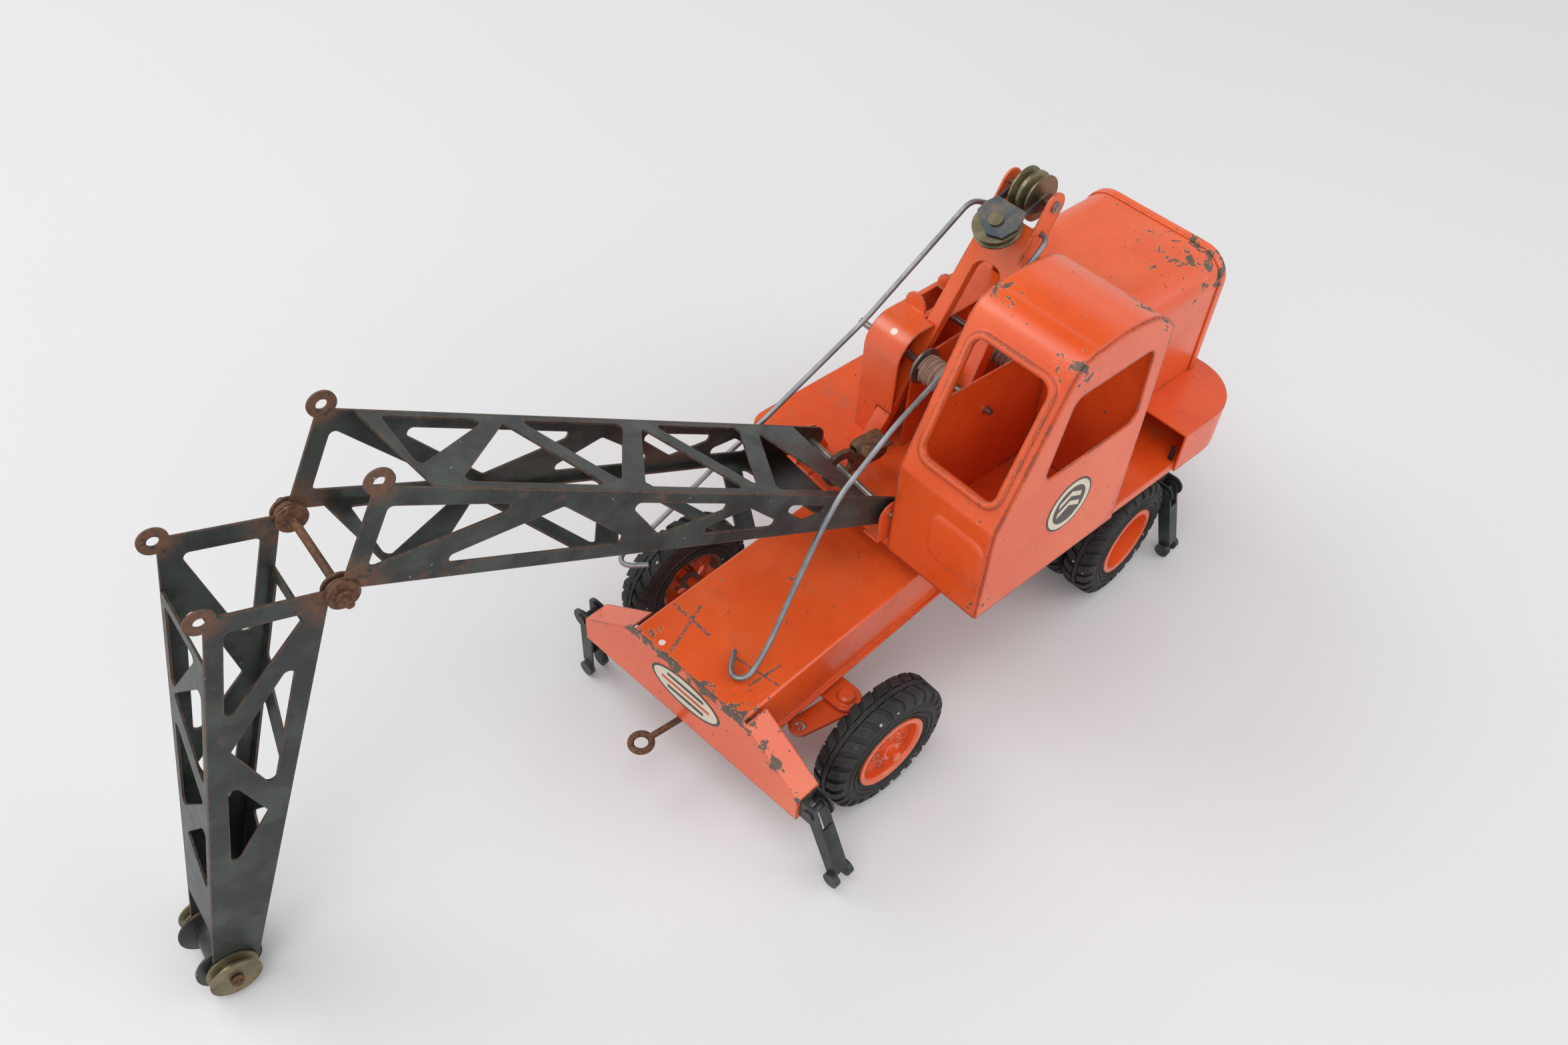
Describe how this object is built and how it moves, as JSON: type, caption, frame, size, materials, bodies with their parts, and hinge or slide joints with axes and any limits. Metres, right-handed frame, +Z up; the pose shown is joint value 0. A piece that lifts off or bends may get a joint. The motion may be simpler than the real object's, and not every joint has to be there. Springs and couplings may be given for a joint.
{
  "type": "toy mobile crane",
  "caption": "Pressed-steel toy mobile crane: wheeled carrier, slewing cab and engine house, gantry, and a folding lattice boom with a knee.",
  "frame": {"origin": "bottom centre of the bounding box, on the floor plane the tyres and the boom's tip spool stand on", "axes": "+X to the rear of the carrier, +Y to its left as seen looking back along +X from the front (the far side from the cab), +Z up"},
  "size_m": [0.5113, 0.1738, 0.2381],
  "materials": {
    "orange_paint": "worn gloss enamel with chips to primer and bare steel",
    "black_paint": "worn black finish with rust along the edges",
    "rubber": "moulded rubber with pale grit",
    "rusty_steel": "brown surface rust",
    "wire": "dull grey drawn wire",
    "brass_sheave": "tarnished plating",
    "blued_steel": "heat-blued with rust",
    "string": "twisted cotton"
  },
  "bodies": {
    "carrier": {"chassis_deck": "orange_paint", "front_bumper": "orange_paint", "rear_bumper": "orange_paint", "front_axle_beam": "rusty_steel", "rear_axle_hanger": "orange_paint", "rear_axle": "wire", "turntable_ring": "black_paint", "outrigger_brackets": "black_paint"},
    "house": {"platform": "orange_paint", "cab_shell": "orange_paint", "cab_side_panel": "orange_paint", "engine_hood": "orange_paint", "hood_rear_cover": "orange_paint", "counterweight_skirt": "orange_paint", "machinery_cover": "orange_paint", "drum_frame": "orange_paint", "gantry_frame": "orange_paint", "gantry_axle": "wire", "boom_foot_bracket": "orange_paint", "boom_foot_pin": "wire"},
    "boom_base": {"boom_base_near": "black_paint", "boom_base_far": "black_paint", "boom_base_top": "black_paint", "boom_base_bottom": "black_paint", "knee_pin": "rusty_steel"},
    "boom_outer": {"boom_outer_near": "black_paint", "boom_outer_far": "black_paint", "boom_outer_back": "black_paint", "boom_outer_front": "black_paint", "tip_axle": "rusty_steel"},
    "tip_spool": {"tip_spool": "black_paint"},
    "tip_sheaves": {"tip_sheaves": "brass_sheave"},
    "hook_block": {"hook_block": "rusty_steel"},
    "hoist_drum": {"hoist_drum": "wire", "hoist_string": "string"},
    "boom_drum": {"boom_drum": "wire", "boom_string": "string"},
    "upper_sheave": {"upper_sheave": "brass_sheave"},
    "head_bracket": {"head_bracket": "blued_steel"},
    "lower_sheave": {"lower_sheave": "brass_sheave"},
    "pendant_near": {"pendant_near": "wire"},
    "pendant_far": {"pendant_far": "wire"},
    "drawbar": {"drawbar": "rusty_steel"},
    "tie_rod": {"tie_rod": "rusty_steel"},
    "knuckle_near": {"knuckle_near": "rusty_steel"},
    "knuckle_far": {"knuckle_far": "rusty_steel"},
    "front_wheel_near": {"front_tyre_near": "rubber", "front_rim_near": "orange_paint"},
    "front_wheel_far": {"front_tyre_far": "rubber", "front_rim_far": "orange_paint"},
    "rear_duals_near": {"rear_tyre_outer_near": "rubber", "rear_tyre_inner_near": "rubber", "rear_rim_near": "orange_paint"},
    "rear_duals_far": {"rear_tyre_outer_far": "rubber", "rear_tyre_inner_far": "rubber", "rear_rim_far": "orange_paint"},
    "leg_front_near": {"outrigger_leg_front_near": "black_paint"},
    "leg_front_far": {"outrigger_leg_front_far": "black_paint"},
    "leg_rear_near": {"outrigger_leg_rear_near": "black_paint"},
    "leg_rear_far": {"outrigger_leg_rear_far": "black_paint"}
  },
  "joints": [
    {"name": "slew", "type": "hinge", "parent": "carrier", "child": "house", "pos_m": [0.1409, 0.0041, 0.076], "axis": [0, 0, 1], "continuous": true},
    {"name": "boom_lift", "type": "hinge", "parent": "house", "child": "boom_base", "pos_m": [0.06365, 0.0185, 0.1003], "axis": [0.1582, 0.9874, 0], "range_deg": [-12, 45]},
    {"name": "boom_knee", "type": "hinge", "parent": "boom_base", "child": "boom_outer", "pos_m": [-0.163, 0.0548, 0.19529], "axis": [0.1582, 0.9874, 0], "range_deg": [-20, 100]},
    {"name": "tip_spool_spin", "type": "hinge", "parent": "boom_outer", "child": "tip_spool", "pos_m": [-0.24153, 0.06738, 0.01272], "axis": [0.1582, 0.9874, 0], "continuous": true},
    {"name": "tip_sheaves_spin", "type": "hinge", "parent": "boom_outer", "child": "tip_sheaves", "pos_m": [-0.24153, 0.06738, 0.01272], "axis": [0.1582, 0.9874, 0], "continuous": true},
    {"name": "hook_block_swing", "type": "hinge", "parent": "house", "child": "hook_block", "pos_m": [0.06365, 0.0185, 0.1003], "axis": [0.1582, 0.9874, 0], "range_deg": [-60, 0]},
    {"name": "hoist_drum_spin", "type": "hinge", "parent": "house", "child": "hoist_drum", "pos_m": [0.1137, 0.01332, 0.133], "axis": [0.0732, 0.9973, 0], "continuous": true},
    {"name": "boom_drum_spin", "type": "hinge", "parent": "house", "child": "boom_drum", "pos_m": [0.15204, 0.00007, 0.13], "axis": [0.0732, 0.9973, 0], "continuous": true},
    {"name": "upper_sheave_spin", "type": "hinge", "parent": "house", "child": "upper_sheave", "pos_m": [0.15947, 0.01146, 0.20799], "axis": [0.0732, 0.9973, 0], "continuous": true},
    {"name": "head_bracket_swing", "type": "hinge", "parent": "house", "child": "head_bracket", "pos_m": [0.15947, 0.01146, 0.20799], "axis": [0.0732, 0.9973, 0], "range_deg": [0, 50]},
    {"name": "lower_sheave_spin", "type": "hinge", "parent": "head_bracket", "child": "lower_sheave", "pos_m": [0.13796, 0.01304, 0.20292], "axis": [-0.4372, 0.0321, 0.8988], "continuous": true},
    {"name": "pendant_near_swing", "type": "hinge", "parent": "house", "child": "pendant_near", "pos_m": [0.15388, 0.01187, 0.19681], "axis": [0.0732, 0.9973, 0], "range_deg": [0, 25]},
    {"name": "pendant_far_swing", "type": "hinge", "parent": "house", "child": "pendant_far", "pos_m": [0.15388, 0.01187, 0.19681], "axis": [0.0732, 0.9973, 0], "range_deg": [0, 15]},
    {"name": "drawbar_swing", "type": "hinge", "parent": "carrier", "child": "drawbar", "pos_m": [0.0076, 0.0041, 0.0275], "axis": [0, 0, 1], "range_deg": [-10, 16]},
    {"name": "steer_near", "type": "hinge", "parent": "carrier", "child": "knuckle_near", "pos_m": [0.0076, -0.0379, 0.0375], "axis": [0, 0, 1], "range_deg": [-10, 16]},
    {"name": "steer_far", "type": "hinge", "parent": "carrier", "child": "knuckle_far", "pos_m": [0.0076, 0.0461, 0.0375], "axis": [0, 0, 1], "range_deg": [-10, 16]},
    {"name": "tie_rod_slide", "type": "slide", "parent": "carrier", "child": "tie_rod", "axis": [0, -1, 0], "range_m": [-0.00429, 0.00685]},
    {"name": "front_wheel_near_spin", "type": "hinge", "parent": "knuckle_near", "child": "front_wheel_near", "pos_m": [0.00568, -0.05982, 0.033], "axis": [0.0872, 0.9962, 0], "continuous": true},
    {"name": "front_wheel_far_spin", "type": "hinge", "parent": "knuckle_far", "child": "front_wheel_far", "pos_m": [0.00952, 0.06802, 0.033], "axis": [0.0872, 0.9962, 0], "continuous": true},
    {"name": "rear_duals_near_spin", "type": "hinge", "parent": "carrier", "child": "rear_duals_near", "pos_m": [0.1851, -0.0525, 0.033], "axis": [0, 1, 0], "continuous": true},
    {"name": "rear_duals_far_spin", "type": "hinge", "parent": "carrier", "child": "rear_duals_far", "pos_m": [0.1851, 0.0607, 0.033], "axis": [0, 1, 0], "continuous": true},
    {"name": "leg_front_near_swing", "type": "hinge", "parent": "carrier", "child": "leg_front_near", "pos_m": [-0.0428, -0.0669, 0.0418], "axis": [-1, 0, 0], "range_deg": [-25, 65]},
    {"name": "leg_front_far_swing", "type": "hinge", "parent": "carrier", "child": "leg_front_far", "pos_m": [-0.0428, 0.0751, 0.0418], "axis": [1, 0, 0], "range_deg": [0, 90]},
    {"name": "leg_rear_near_swing", "type": "hinge", "parent": "carrier", "child": "leg_rear_near", "pos_m": [0.2238, -0.0669, 0.0418], "axis": [-1, 0, 0], "range_deg": [-16, 74]},
    {"name": "leg_rear_far_swing", "type": "hinge", "parent": "carrier", "child": "leg_rear_far", "pos_m": [0.2238, 0.0751, 0.0418], "axis": [1, 0, 0], "range_deg": [0, 90]}
  ],
  "couplings": [
    {"joint": "steer_near", "follows": "drawbar_swing", "ratio": 1},
    {"joint": "steer_far", "follows": "drawbar_swing", "ratio": 1},
    {"joint": "tie_rod_slide", "follows": "drawbar_swing", "m_per_rad": 0.0245}
  ]
}
